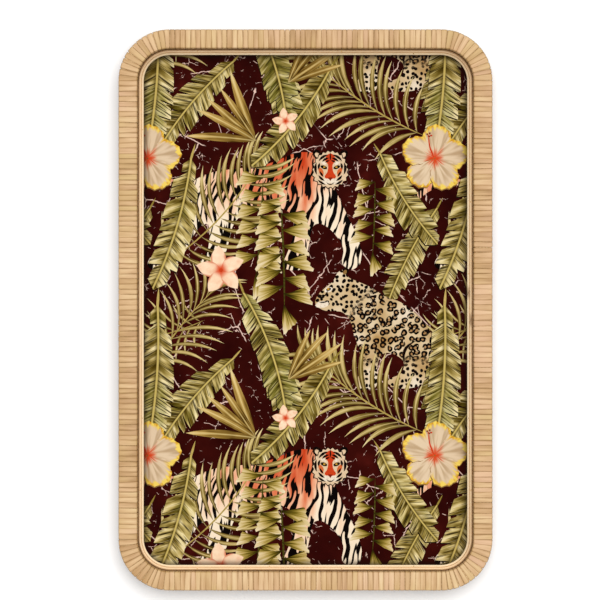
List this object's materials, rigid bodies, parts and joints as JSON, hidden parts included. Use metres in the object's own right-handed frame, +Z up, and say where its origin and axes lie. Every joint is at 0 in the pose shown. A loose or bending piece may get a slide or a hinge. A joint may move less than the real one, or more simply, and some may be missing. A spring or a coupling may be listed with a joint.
{
  "type": "serving tray",
  "caption": "Rectangular serving tray with rounded corners, a cane-bound wooden rim and a printed laminated base.",
  "frame": {"origin": "centre of the tray's outline, on the surface it stands on, at the underside of the felt pads", "axes": "+X across the tray's width, +Y along its length, +Z up out of the well"},
  "size_m": [0.3, 0.45, 0.033],
  "materials": {
    "cane": "flat rattan binding cane, satin varnish",
    "reed": "round rattan reed, satin varnish",
    "pine": "sawn softwood, unfinished",
    "beech": "turned hardwood, unfinished",
    "board": "hard fibreboard, sealed matt",
    "decor": "printed decor sheet under a clear satin laminate",
    "screw_steel": "zinc plated",
    "brad_brass": "dull brass plated",
    "felt": "pressed wool felt"
  },
  "bodies": {
    "root": {"base_board": "board", "print_sheet": "decor", "foot_pad_front_left": "felt", "foot_pad_front_right": "felt", "foot_pad_back_left": "felt", "foot_pad_back_right": "felt", "rail_front": "pine", "rail_back": "pine", "rail_left": "pine", "rail_right": "pine", "corner_block_front_left": "pine", "corner_block_front_right": "pine", "corner_block_back_left": "pine", "corner_block_back_right": "pine", "corner_dowels": "beech", "binding_front": "cane", "binding_back": "cane", "binding_left": "cane", "binding_right": "cane", "binding_corner_front_left": "cane", "binding_corner_front_right": "cane", "binding_corner_back_left": "cane", "binding_corner_back_right": "cane", "bead_reed_outer": "reed", "bead_reed_inner": "reed", "reed_brads": "brad_brass", "base_screws": "screw_steel"}
  },
  "joints": []
}
